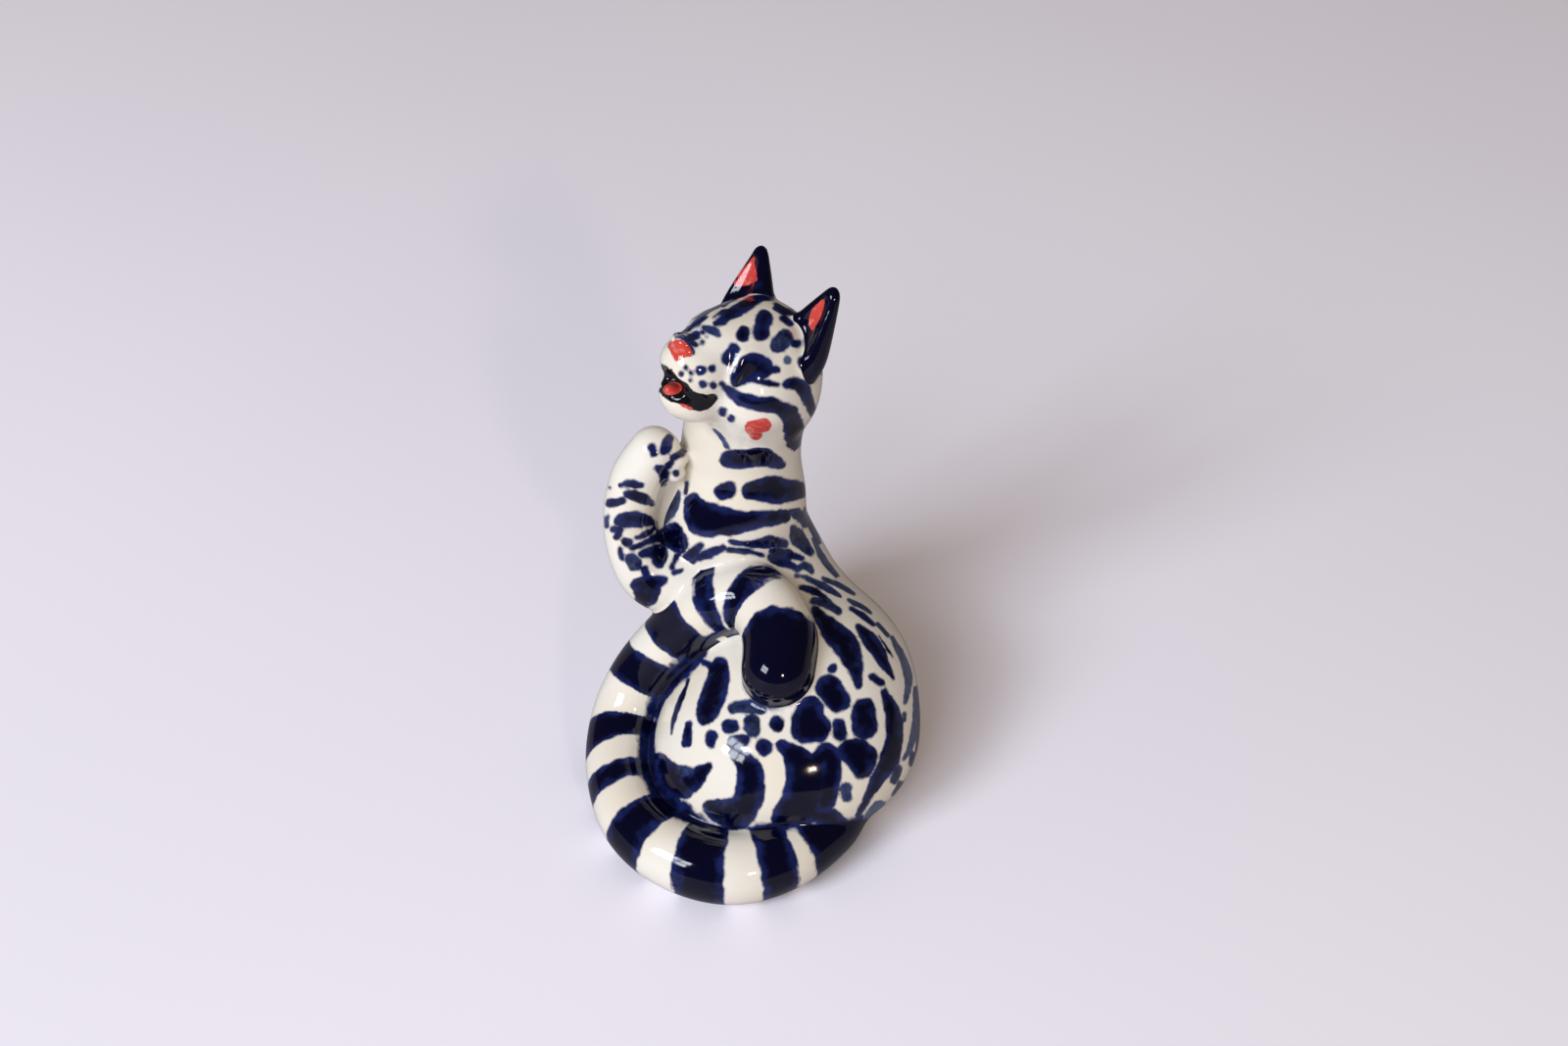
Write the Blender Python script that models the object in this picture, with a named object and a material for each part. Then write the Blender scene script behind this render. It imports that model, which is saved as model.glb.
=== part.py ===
"""Porcelain cat figurine: a sitting cat that lifts its left forepaw to its mouth, its tail round it.

A potter's ten pieces, luted together with slip. Each piece is a blend of balls and tapered limbs.
The tables are in millimetres and the scene is in metres. The cat stands on z = 0 and faces -X,
so its left side faces -Y. Neighbouring pieces keep GAP between them. STAND moves every place so
that the footprint's middle is the origin.
"""

import math

import bmesh
import bpy
from mathutils import Matrix, Vector

MM = 0.001

# Driving dimensions, in millimetres.
GAP = 0.3
WALL = 3.0
BASE_THICKNESS = 3.0
VENT_RADIUS = 2.5
VOXEL = 0.8
BIG = 150.0
STAND = Vector((0.1, -3.1, 0.0))
FLOOR = Vector((0.0, 0.0, 0.0))
UP = Vector((0.0, 0.0, 1.0))
NECK_CUT = Vector((0.0, 20.0, 58.0))
HEAD_CENTRE = Vector((1.0, 19.0, 66.8))
HEAD_TURN = math.radians(38.0)
HEAD_LIFT = math.radians(32.0)
EAR_STEPS = 6
LIMB_STEPS = 6

WHITE_GLAZE = (0.83, 0.81, 0.74)
COBALT_GLAZE = (0.02, 0.03, 0.14)
CORAL_GLAZE = (0.72, 0.09, 0.07)


def head_axes():
    """Columns forward, left and up of the head, as a rotation."""
    level = math.cos(HEAD_LIFT)
    forward = Vector((-math.cos(HEAD_TURN) * level, -math.sin(HEAD_TURN) * level, math.sin(HEAD_LIFT)))
    left = UP.cross(forward).normalized()
    return Matrix((forward, left, forward.cross(left))).transposed()


HEAD_AXES = head_axes()
WORLD_AXES = Matrix.Identity(3)


def in_head(forward, left, up):
    """A point given from the middle of the skull, in world millimetres."""
    return HEAD_CENTRE + HEAD_AXES @ Vector((forward, left, up))


def head_ball(place, semi_axes):
    return in_head(*place), semi_axes, HEAD_AXES


def body_ball(place, semi_axes):
    return Vector(place), semi_axes, WORLD_AXES


def limb(points):
    """Balls along a smooth curve through points of (x, y, z, radius)."""
    ends = [Vector(points[0])] + [Vector(p) for p in points] + [Vector(points[-1])]
    balls = []
    for before, start, end, after in zip(ends, ends[1:], ends[2:], ends[3:]):
        for step in range(LIMB_STEPS + 1):
            t = step / LIMB_STEPS
            bend = 2 * before - 5 * start + 4 * end - after
            twist = 3 * (start - end) + after - before
            place = start + 0.5 * ((end - before) * t + bend * t * t + twist * t**3)
            balls.append((place.xyz, [place.w] * 3, WORLD_AXES))
    return balls


def ear(side):
    """A flat, pointed ear. side is 1 for the left ear and -1 for the right."""
    root = Vector((-1.4, 6.8 * side, 4.2))
    tip = Vector((0.2, 8.3 * side, 13.8 + 0.6 * side))
    slant = math.radians(52.0) * side
    axes = HEAD_AXES @ Matrix.Rotation(-slant, 3, "X")
    balls = []
    for step in range(EAR_STEPS + 1):
        t = step / EAR_STEPS
        thickness = 3.1 + (1.0 - 3.1) * t
        width = 5.8 + (1.1 - 5.8) * t
        balls.append((in_head(*root.lerp(tip, t)), (thickness, width, thickness), axes))
    return balls


TORSO = [
    (7.2, 7.5, 14.0, 15.2),
    (4.2, 13.0, 18.5, 13.4),
    (0.8, 18.0, 26.0, 11.7),
    (-1.6, 20.5, 34.5, 10.2),
    (-1.7, 21.5, 43.0, 9.2),
    (-1.4, 21.5, 52.0, 8.9),
    (0.4, 20.2, 60.0, 8.5),
]
RUMP = [
    ((5.6, 0.6, 11.0), (20.2, 19.0, 15.0)),
    ((9.0, 6.0, 16.5), (14.5, 15.0, 13.5)),
    ((-1.0, -4.0, 8.0), (14.5, 14.2, 9.5)),
]
CHEST = ((-5.5, 17.6, 37.6), (7.8, 8.0, 8.0))
NAPE = ((-3.0, 2.5, -5.5), (6.3, 6.3, 6.3))
SKULL = [
    ((0.0, 0.0, 0.0), (9.6, 9.2, 8.8)),
    ((5.8, 0.0, 1.5), (7.6, 5.6, 4.4)),
    ((10.4, 0.0, -2.6), (5.6, 5.2, 4.5)),
    ((9.0, 0.0, -7.6), (5.0, 4.2, 3.1)),
    ((-2.4, 1.4, -2.8), (8.6, 8.6, 8.0)),
    ((2.5, 4.8, -3.5), (5.0, 5.0, 5.0)),
    ((2.5, -4.8, -3.5), (5.0, 5.0, 5.0)),
]
MOUTH = ((15.4, 0.0, -5.9), (3.0, 2.9, 1.3))
TONGUE = ((14.2, 0.0, -6.5), (1.9, 1.5, 0.8))
LEFT_FORELEG = [
    (-2.5, 18.0, 34.0, 6.0),
    (-10.5, 13.2, 31.0, 5.7),
    (-15.8, 12.7, 32.2, 4.7),
    (-18.4, 14.5, 39.5, 4.0),
    (-17.0, 16.3, 47.0, 4.1),
    (-14.2, 16.5, 51.6, 3.9),
]
RIGHT_FORELEG = [
    (-3.0, 25.5, 33.0, 7.0),
    (-5.0, 28.5, 21.0, 5.4),
    (-8.0, 28.5, 9.0, 4.3),
    (-10.0, 28.0, 3.6, 4.2),
    (-14.0, 27.0, 2.8, 3.7),
]
LEFT_HIND_LEG = [
    (-6.0, 4.0, 12.0, 7.5),
    (-10.0, 8.0, 6.0, 5.0),
    (-14.0, 11.0, 3.2, 3.8),
    (-18.5, 12.0, 2.8, 3.5),
]
RIGHT_HIND_LEG = [
    (-2.0, 16.0, 11.0, 7.5),
    (-8.0, 18.5, 6.0, 5.0),
    (-13.0, 19.0, 3.2, 3.8),
    (-17.5, 19.5, 2.8, 3.5),
]
TAIL = [
    (13.8, -10.5, 6.5, 4.4),
    (11.2, -14.6, 5.3, 4.7),
    (4.6, -19.9, 5.0, 5.2),
    (-3.1, -22.1, 5.0, 5.4),
    (-11.1, -19.5, 5.0, 5.4),
    (-17.4, -13.3, 5.3, 5.4),
    (-20.4, -4.0, 6.5, 5.4),
    (-20.0, 3.7, 9.5, 5.4),
    (-16.7, 7.7, 15.2, 5.4),
    (-11.0, 8.4, 23.2, 5.3),
    (-5.3, 7.6, 30.4, 5.3),
    (0.6, 6.0, 32.6, 5.3),
    (3.9, 0.8, 31.0, 5.5),
    (3.8, -4.1, 27.9, 5.3),
]


def clear_scene():
    for obj in list(bpy.data.objects):
        bpy.data.objects.remove(obj, do_unlink=True)


def add_object(name, mesh):
    obj = bpy.data.objects.new(name, mesh)
    bpy.context.scene.collection.objects.link(obj)
    return obj


def make_guide(obj):
    """Keeps a cutter out of the figurine itself."""
    obj.hide_render = True
    obj.display_type = "WIRE"
    return obj


def ball_mesh(name, balls, grow):
    shape = bmesh.new()
    for centre, semi_axes, axes in balls:
        size = Matrix.Diagonal([(half + grow) * MM for half in semi_axes]).to_4x4()
        place = Matrix.Translation((centre + STAND) * MM) @ axes.to_4x4() @ size
        bmesh.ops.create_icosphere(shape, subdivisions=3, radius=1.0, matrix=place)
    mesh = bpy.data.meshes.new(name)
    shape.to_mesh(mesh)
    shape.free()
    return mesh


def blend(name, balls, triangles, grow=0.0):
    """One smooth closed skin round all the balls, thinned to about so many triangles."""
    obj = add_object(name, ball_mesh(name, balls, grow))
    fuse = obj.modifiers.new("fuse", "REMESH")
    fuse.mode = "VOXEL"
    fuse.voxel_size = VOXEL * MM
    fuse.use_smooth_shade = True
    soften = obj.modifiers.new("soften", "SMOOTH")
    soften.factor = 0.5
    soften.iterations = 4
    bpy.context.view_layer.update()
    skin = obj.evaluated_get(bpy.context.evaluated_depsgraph_get()).data
    thin = obj.modifiers.new("thin", "DECIMATE")
    thin.ratio = min(1.0, triangles / (2 * len(skin.polygons)))
    return obj


def half_space(name, point, outward):
    """A big block whose one face passes through point; the block lies on the outward side."""
    shape = bmesh.new()
    bmesh.ops.create_cube(shape, size=BIG * MM)
    turn = UP.rotation_difference(outward).to_matrix().to_4x4()
    place = Matrix.Translation((point + outward * BIG / 2) * MM) @ turn
    bmesh.ops.transform(shape, matrix=place, verts=shape.verts)
    mesh = bpy.data.meshes.new(name)
    shape.to_mesh(mesh)
    shape.free()
    return make_guide(add_object(name, mesh))


def vent_cutter(name, x, y):
    """The round hole through the base that lets the hollow breathe in the kiln."""
    shape = bmesh.new()
    place = Matrix.Translation((Vector((x, y, BASE_THICKNESS / 2)) + STAND) * MM)
    bmesh.ops.create_cone(
        shape,
        cap_ends=True,
        segments=32,
        radius1=VENT_RADIUS * MM,
        radius2=VENT_RADIUS * MM,
        depth=3 * BASE_THICKNESS * MM,
        matrix=place,
    )
    mesh = bpy.data.meshes.new(name)
    shape.to_mesh(mesh)
    shape.free()
    return make_guide(add_object(name, mesh))


def cut(obj, *cutters):
    for cutter in cutters:
        modifier = obj.modifiers.new(cutter.name, "BOOLEAN")
        modifier.operation = "DIFFERENCE"
        modifier.solver = "EXACT"
        modifier.object = cutter
    return obj


def grown(name, balls, triangles):
    """A cutter one GAP larger than a piece, so that its neighbour stays clear of it."""
    return make_guide(blend("clear_of_" + name, balls, triangles, GAP))


def add_glaze(obj, colour):
    material = bpy.data.materials.new(obj.name)
    material.use_nodes = True
    shader = material.node_tree.nodes["Principled BSDF"]
    shader.inputs["Base Color"].default_value = (*colour, 1.0)
    shader.inputs["Roughness"].default_value = 0.12
    shader.inputs["Metallic"].default_value = 0.0
    material.diffuse_color = (*colour, 1.0)
    obj.data.materials.append(material)


def build_body(floor, above_neck):
    """The hollow slip casting: rump, torso and neck, open below through the vent."""
    outside = limb(TORSO) + [body_ball(*ball) for ball in RUMP + [CHEST]] + [head_ball(*NAPE)]
    inside = limb(TORSO[:-1]) + [body_ball(*ball) for ball in RUMP]
    body = blend("body_shell", outside, 2600)
    hollow = make_guide(blend("hollow", inside, 900, -WALL))
    cut(hollow, half_space("below_hollow", UP * BASE_THICKNESS, -UP))
    vent = vent_cutter("vent", 5.6, 2.0)
    return cut(body, floor, above_neck, hollow, vent)


def build_head(below_neck):
    balls = [head_ball(*ball) for ball in SKULL + [NAPE]] + limb(TORSO[-3:])
    head = blend("head", balls, 1800)
    mouth = make_guide(blend("mouth", [head_ball(*MOUTH)], 200))
    tongue_seat = grown("tongue", [head_ball(*TONGUE)], 150)
    return cut(head, below_neck, mouth, tongue_seat)


def main():
    clear_scene()
    floor = half_space("floor", FLOOR, -UP)
    neck_top = half_space("neck_top", NECK_CUT - UP * GAP / 2, UP)
    neck_bottom = half_space("neck_bottom", NECK_CUT + UP * GAP / 2, -UP)

    body_balls = limb(TORSO) + [body_ball(*ball) for ball in RUMP + [CHEST]]
    skull_balls = [head_ball(*ball) for ball in SKULL]
    clear_body = grown("body", body_balls, 2600)
    clear_head = grown("head", skull_balls, 1200)
    clear_left_arm = grown("left_foreleg", limb(LEFT_FORELEG), 600)
    clear_right_arm = grown("right_foreleg", limb(RIGHT_FORELEG), 600)
    clear_left_foot = grown("left_hind_leg", limb(LEFT_HIND_LEG), 500)

    white = [
        build_body(floor, neck_top),
        build_head(neck_bottom),
        cut(blend("left_foreleg", limb(LEFT_FORELEG), 700), clear_body),
        cut(blend("right_foreleg", limb(RIGHT_FORELEG), 600), clear_body, floor),
        cut(blend("left_hind_leg", limb(LEFT_HIND_LEG), 500), clear_body, floor),
        cut(
            blend("right_hind_leg", limb(RIGHT_HIND_LEG), 500),
            clear_body,
            clear_left_foot,
            clear_right_arm,
            floor,
        ),
    ]
    cobalt = [
        cut(blend("left_ear", ear(1), 300), clear_head),
        cut(blend("right_ear", ear(-1), 300), clear_head),
        cut(blend("tail", limb(TAIL), 2000), clear_body, clear_left_arm, clear_left_foot, floor),
    ]
    tongue = blend("tongue", [head_ball(*TONGUE)], 150)

    for piece in white:
        add_glaze(piece, WHITE_GLAZE)
    for piece in cobalt:
        add_glaze(piece, COBALT_GLAZE)
    add_glaze(tongue, CORAL_GLAZE)


main()
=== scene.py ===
import math

import bpy
import numpy as np
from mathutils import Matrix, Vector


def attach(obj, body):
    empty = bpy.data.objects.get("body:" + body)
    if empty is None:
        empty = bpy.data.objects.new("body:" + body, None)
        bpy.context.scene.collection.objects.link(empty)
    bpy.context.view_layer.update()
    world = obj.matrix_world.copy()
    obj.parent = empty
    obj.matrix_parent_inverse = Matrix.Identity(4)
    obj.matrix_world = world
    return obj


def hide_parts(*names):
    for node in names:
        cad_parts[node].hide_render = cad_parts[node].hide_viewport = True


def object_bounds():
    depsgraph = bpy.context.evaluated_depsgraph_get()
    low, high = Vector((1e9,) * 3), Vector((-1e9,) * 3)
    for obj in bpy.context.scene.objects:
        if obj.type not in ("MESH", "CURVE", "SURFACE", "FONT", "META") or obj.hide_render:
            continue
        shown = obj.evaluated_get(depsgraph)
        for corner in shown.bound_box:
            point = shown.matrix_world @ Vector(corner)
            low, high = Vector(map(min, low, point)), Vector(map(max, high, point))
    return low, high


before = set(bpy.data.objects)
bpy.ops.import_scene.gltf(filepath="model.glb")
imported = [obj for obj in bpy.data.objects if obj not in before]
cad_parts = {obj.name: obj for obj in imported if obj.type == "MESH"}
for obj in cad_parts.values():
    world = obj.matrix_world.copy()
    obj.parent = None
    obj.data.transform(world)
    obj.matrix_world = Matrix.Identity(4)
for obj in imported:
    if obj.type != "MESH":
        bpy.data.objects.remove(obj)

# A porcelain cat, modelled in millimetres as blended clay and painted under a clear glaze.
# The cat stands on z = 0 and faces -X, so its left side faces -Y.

import openvdb
from mathutils import Vector
from mathutils.bvhtree import BVHTree
from mathutils.kdtree import KDTree

cad_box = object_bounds()

# Lengths and places are in millimetres. Those of the floor, the lights and the clip are in metres.
MM = 0.001
VOXEL = 0.32
FAR = 8.0
GRID_MARGIN = 2.5
ADD_REACH = 3.0
CARVE_REACH = 1.5
CLAY_SMOOTHING = 0.4
CUT_FILLET = 0.4
FOOT_FILLET = 0.8
STAND = np.array((0.1, -3.1, 0.0))
HEAD_CENTRE = np.array((1.0, 19.0, 66.8)) + STAND
HEAD_TURN = math.radians(38.0)
HEAD_LIFT = math.radians(32.0)


def head_axes():
    """Columns forward, left and up of the head."""
    level = math.cos(HEAD_LIFT)
    forward = np.array((-math.cos(HEAD_TURN) * level, -math.sin(HEAD_TURN) * level, math.sin(HEAD_LIFT)))
    left = np.cross((0.0, 0.0, 1.0), forward)
    left /= np.linalg.norm(left)
    return np.stack((forward, left, np.cross(forward, left)), axis=1)


HEAD_AXES = head_axes()
WORLD_AXES = np.eye(3)


# ---- Clay: shapes and fields of signed distance, negative inside ----


def curve(points, steps=8):
    """Points along a smooth curve through the given ones, whatever they hold beside x, y and z."""
    ends = np.array([points[0], *points, points[-1]], float)
    out = []
    for before, start, end, after in zip(ends, ends[1:], ends[2:], ends[3:]):
        for t in np.arange(steps) / steps:
            bend = 2 * before - 5 * start + 4 * end - after
            twist = 3 * (start - end) + after - before
            out.append(start + 0.5 * ((end - before) * t + bend * t * t + twist * t**3))
    return np.array(out + [ends[-1]])


class Ball:
    """An ellipsoid with half sizes along its own axes."""

    def __init__(self, centre, half, axes=WORLD_AXES):
        self.centre = np.asarray(centre, np.float32)
        self.half = np.asarray(half, np.float32) * np.ones(3, np.float32)
        self.axes = np.asarray(axes, np.float32)
        reach = self.half.max()
        self.low = self.centre - reach
        self.high = self.centre + reach

    def distance(self, points):
        local = (points - self.centre) @ self.axes / self.half
        near = np.sqrt((local**2).sum(-1)) + 1e-6
        slope = np.sqrt(((local / self.half) ** 2).sum(-1)) + 1e-6
        return near * (near - 1) / slope


class Rod:
    """A tapered rod between two balls."""

    def __init__(self, start, end):
        self.start = np.asarray(start, np.float32)
        self.end = np.asarray(end, np.float32)
        reach = max(start[3], end[3])
        self.low = np.minimum(self.start, self.end)[:3] - reach
        self.high = np.maximum(self.start, self.end)[:3] + reach

    def distance(self, points):
        along = self.end[:3] - self.start[:3]
        share = ((points - self.start[:3]) @ along) / max(float(along @ along), 1e-6)
        share = np.clip(share, 0, 1)
        nearest = self.start[:3] + share[..., None] * along
        radius = self.start[3] + share * (self.end[3] - self.start[3])
        return np.sqrt(((points - nearest) ** 2).sum(-1)) - radius


def limb(points):
    """Rods along a smooth curve through points of (x, y, z, radius)."""
    places = curve(points)
    places[:, :3] += STAND
    return [Rod(start, end) for start, end in zip(places, places[1:])]


def head_limb(points):
    """A limb whose points are given from the middle of the skull: forward, left, up, radius."""
    places = curve(points)
    places[:, :3] = HEAD_CENTRE + places[:, :3] @ HEAD_AXES.T
    return [Rod(start, end) for start, end in zip(places, places[1:])]


def in_head(place):
    return HEAD_CENTRE + HEAD_AXES @ np.array(place)


def head_ball(place, half):
    return Ball(in_head(place), half, HEAD_AXES)


def body_ball(place, half):
    return Ball(np.array(place) + STAND, half)


def soft_min(a, b, blend):
    """The smaller of two distances, with a fillet of about blend millimetres where they cross."""
    if not blend:
        return np.minimum(a, b)
    share = np.clip(0.5 + 0.5 * (b - a) / blend, 0, 1)
    return b + (a - b) * share - blend * share * (1 - share)


GRID_LOW = np.array(cad_box[0]) / MM - GRID_MARGIN
GRID_SHAPE = np.ceil((np.array(cad_box[1]) / MM + GRID_MARGIN - GRID_LOW) / VOXEL).astype(int) + 1


def new_field():
    return np.full(GRID_SHAPE, FAR, np.float32)


def window(shape, margin):
    """The part of the grid round a shape, and the places of its voxels."""
    start = np.floor((shape.low - margin - GRID_LOW) / VOXEL).astype(int).clip(0)
    stop = np.ceil((shape.high + margin - GRID_LOW) / VOXEL).astype(int) + 1
    stop = np.minimum(stop, GRID_SHAPE)
    sides = [GRID_LOW[i] + VOXEL * np.arange(start[i], stop[i]) for i in range(3)]
    places = np.stack(np.meshgrid(*sides, indexing="ij"), axis=-1).astype(np.float32)
    return tuple(slice(a, b) for a, b in zip(start, stop)), places


def add(field, shapes, blend=0.0):
    """The field with the shapes joined on, each with a fillet of blend millimetres."""
    for shape in shapes:
        part, places = window(shape, ADD_REACH + blend)
        if places.size:
            field[part] = soft_min(field[part], shape.distance(places), blend)
    return field


def carve(field, shapes, blend=0.0):
    """The field with the shapes cut out."""
    for shape in shapes:
        part, places = window(shape, CARVE_REACH + blend)
        if places.size:
            field[part] = -soft_min(-field[part], shape.distance(places), blend)
    return field


def smoothed(field, sigma):
    """The field after a Gaussian blur of sigma millimetres."""
    reach = int(math.ceil(3 * sigma / VOXEL))
    steps = np.arange(-reach, reach + 1)
    weights = np.exp(-0.5 * (steps * VOXEL / sigma) ** 2)
    weights /= weights.sum()
    for axis in range(3):
        padded = np.pad(field, [(reach, reach) if i == axis else (0, 0) for i in range(3)], mode="edge")
        total = np.zeros_like(field)
        for step, weight in zip(steps, weights):
            keep = [slice(None)] * 3
            keep[axis] = slice(reach + step, reach + step + field.shape[axis])
            total += np.float32(weight) * padded[tuple(keep)]
        field = total
    return field


def sample(field, points):
    """The field's value at each point, between the voxels."""
    place = (np.asarray(points) - GRID_LOW) / VOXEL
    place = np.clip(place, 0, np.array(field.shape) - 1.001)
    cell = place.astype(int)
    part = place - cell
    total = np.zeros(len(place))
    for corner in np.ndindex(2, 2, 2):
        corner = np.array(corner)
        weight = np.prod(np.where(corner, part, 1 - part), axis=1)
        i, j, k = (cell + corner).T
        total += weight * field[i, j, k]
    return total


def slope(field, points):
    """The field's gradient at each point."""
    steps = np.eye(3) * VOXEL
    rises = [sample(field, points + step) - sample(field, points - step) for step in steps]
    return np.stack(rises, axis=1) / (2 * VOXEL)


# ---- The ten pieces ----

TORSO = [
    (7.2, 7.5, 14.0, 15.2),
    (4.2, 13.0, 18.5, 13.4),
    (0.8, 18.0, 26.0, 11.7),
    (-1.6, 20.5, 34.5, 10.2),
    (-1.7, 21.5, 43.0, 9.2),
    (-1.4, 21.5, 52.0, 8.9),
    (0.4, 20.2, 60.0, 8.5),
]
LEFT_FORELEG = [
    (-2.5, 18.0, 34.0, 6.0),
    (-10.5, 13.2, 31.0, 5.7),
    (-15.8, 12.7, 32.2, 4.7),
    (-18.4, 14.5, 39.5, 4.0),
    (-17.0, 16.3, 47.0, 4.1),
    (-14.2, 16.6, 52.5, 3.6),
]
LEFT_PALM = [
    (-15.0, 18.5, 35.0, 3.0),
    (-14.0, 19.6, 42.0, 3.2),
    (-13.0, 18.6, 49.0, 2.9),
]
LEFT_TOES = [
    (-12.2, 16.2, 53.4, 1.9),
    (-10.9, 15.8, 51.4, 1.6),
    (-11.2, 15.6, 49.0, 1.5),
]
RIGHT_FORELEG = [
    (-3.0, 25.5, 33.0, 7.0),
    (-5.0, 28.5, 21.0, 5.4),
    (-8.0, 28.5, 9.0, 4.3),
    (-10.0, 28.0, 3.6, 4.2),
    (-14.0, 27.0, 2.8, 3.7),
]
LEFT_HIND_LEG = [
    (-6.0, 4.0, 12.0, 7.5),
    (-10.0, 8.0, 6.0, 5.0),
    (-14.0, 11.0, 3.2, 3.8),
    (-18.5, 12.0, 2.8, 3.5),
]
RIGHT_HIND_LEG = [
    (-2.0, 16.0, 11.0, 7.5),
    (-8.0, 18.5, 6.0, 5.0),
    (-13.0, 19.0, 3.2, 3.8),
    (-17.5, 19.5, 2.8, 3.5),
]
TAIL = [
    (13.8, -10.5, 6.5, 4.4),
    (11.2, -14.6, 5.3, 4.7),
    (4.6, -19.9, 5.0, 5.2),
    (-3.1, -22.1, 5.0, 5.4),
    (-11.1, -19.5, 5.0, 5.4),
    (-17.4, -13.3, 5.3, 5.4),
    (-20.4, -4.0, 6.5, 5.4),
    (-20.0, 3.7, 9.5, 5.4),
    (-16.7, 7.7, 15.2, 5.4),
    (-11.0, 8.4, 23.2, 5.3),
    (-5.3, 7.6, 30.4, 5.3),
    (0.6, 6.0, 32.6, 5.3),
    (3.9, 0.8, 31.0, 5.5),
    (3.8, -4.1, 27.9, 5.3),
]
VENT = np.array((5.6, 2.0)) + STAND[:2]
VENT_RADIUS = 2.5


def body_clay():
    field = add(new_field(), limb(TORSO))
    add(field, [body_ball((5.6, 0.6, 11.0), (20.2, 19.0, 15.0))], 6.0)
    add(field, [body_ball((9.0, 6.0, 16.5), (14.5, 15.0, 13.5))], 5.0)
    add(field, [body_ball((-1.0, -4.0, 8.0), (14.5, 14.2, 9.5))], 3.0)
    add(field, [body_ball((-5.5, 17.6, 37.6), (7.8, 8.0, 8.0))], 4.0)
    add(field, [body_ball((-1.5, 19.0, 41.0), 8.8)], 3.0)
    return field


MOUTH = head_ball((15.2, 0.0, -5.8), (3.4, 2.8, 1.8))


def head_clay():
    field = add(new_field(), [head_ball((0.3, -0.1, 0.1), (9.4, 9.0, 8.7))])
    add(field, [head_ball((-1.8, 1.0, -3.1), (8.1, 8.3, 7.7))], 3.0)
    add(field, [head_ball((5.8, 0.0, 1.5), (7.6, 5.0, 4.4))], 3.0)
    add(field, [head_ball((2.5, side * 4.8, -3.5), 5.0) for side in (1, -1)], 3.0)
    add(field, [head_ball((10.4, 0.0, -2.6), (5.6, 5.2, 4.5))], 2.0)
    add(field, [head_ball((9.0, 0.0, -7.6), (5.0, 4.2, 3.1))], 2.0)
    add(field, [head_ball((15.2, 0.0, 0.3), (1.3, 1.9, 1.2))], 1.2)
    add(field, [head_ball((6.6, side * 5.4, 1.6), (2.4, 1.3, 1.8)) for side in (1, -1)], 1.6)
    for side in (1, -1):
        ridge = [(9.0, 5.1, 2.4, 0.5), (8.8, 5.6, 0.8, 0.6), (8.9, 5.8, -0.7, 0.6), (8.8, 5.8, -2.2, 0.5)]
        add(field, head_limb([(x, y * side, z, r) for x, y, z, r in ridge]), 0.5)
    carve(field, [MOUTH], 0.4)
    for side in (1, -1):
        lips = [(14.6, 2.0 * side, -6.0, 0.7), (12.6, 4.3 * side, -6.3, 0.7), (10.2, 5.4 * side, -5.6, 0.5)]
        carve(field, head_limb(lips), 0.5)
    return field


def ear_clay(side):
    root = np.array((-0.6 - 0.8 * side, 6.1 * side, 5.0))
    tip = np.array((0.2 + 0.1 * side, 8.1 * side, 13.7 + 0.3 * side))
    slant = math.radians(52.0) * side
    cosine, sine = math.cos(slant), math.sin(slant)
    axes = HEAD_AXES @ np.array(((1, 0, 0), (0, cosine, sine), (0, -sine, cosine)))
    root_half, tip_half = np.array((2.7, 4.9, 3.1)), np.array((0.8, 1.1 + 0.2 * side, 0.9))
    root_scoop, tip_scoop = np.array((1.6, 3.3, 2.2)), np.array((0.5, 0.3, 0.5))
    field = new_field()
    for t in np.linspace(0, 1, 9):
        half = root_half + (tip_half - root_half) * t
        add(field, [Ball(in_head(root + (tip - root) * t), half, axes)], 1.0)
    for t in np.linspace(0.05, 0.8, 8):
        half = root_scoop + (tip_scoop - root_scoop) * t
        scoop = in_head(root + (tip - root) * t + np.array((2.8 - 2.0 * t, 0, 0)))
        carve(field, [Ball(scoop, half, axes)], 0.5)
    return field


def left_foreleg_clay():
    field = add(new_field(), limb(LEFT_FORELEG))
    add(field, limb(LEFT_PALM), 0.8)
    toes = [body_ball(toe[:3], toe[3]) for toe in LEFT_TOES]
    return add(field, toes, 0.5)


def tongue_clay():
    return add(new_field(), [head_ball((13.0, 0.0, -6.75), (1.7, 1.15, 0.85))])


pieces = {
    "body_shell": body_clay(),
    "head": head_clay(),
    "left_ear": ear_clay(1),
    "right_ear": ear_clay(-1),
    "left_foreleg": left_foreleg_clay(),
    "right_foreleg": add(new_field(), limb(RIGHT_FORELEG)),
    "left_hind_leg": add(new_field(), limb(LEFT_HIND_LEG)),
    "right_hind_leg": add(new_field(), limb(RIGHT_HIND_LEG)),
    "tail": add(new_field(), limb(TAIL)),
    "tongue": tongue_clay(),
}
FILLETS = {
    "head": 3.0,
    "left_ear": 1.2,
    "right_ear": 1.2,
    "left_foreleg": 1.0,
    "right_foreleg": 3.0,
    "left_hind_leg": 2.0,
    "right_hind_leg": 2.0,
    "tail": 0.9,
}


def fused_cat():
    """All pieces luted together and smoothed, with the vent and the hollow cut and the foot rubbed flat."""
    field = pieces["body_shell"].copy()
    for name, fillet in FILLETS.items():
        field = soft_min(field, pieces[name], fillet)
    field = smoothed(soft_min(field, pieces["tongue"], 0.0), CLAY_SMOOTHING)
    carve(field, [Rod((*VENT, -1.0, VENT_RADIUS), (*VENT, 6.0, VENT_RADIUS))], CUT_FILLET)
    carve(field, [body_ball((5.6, 0.6, 11.0), (12.0, 11.0, 8.0))], CUT_FILLET)
    height = GRID_LOW[2] + VOXEL * np.arange(GRID_SHAPE[2], dtype=np.float32)
    return -soft_min(-field, height[None, None, :], FOOT_FILLET)


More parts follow.
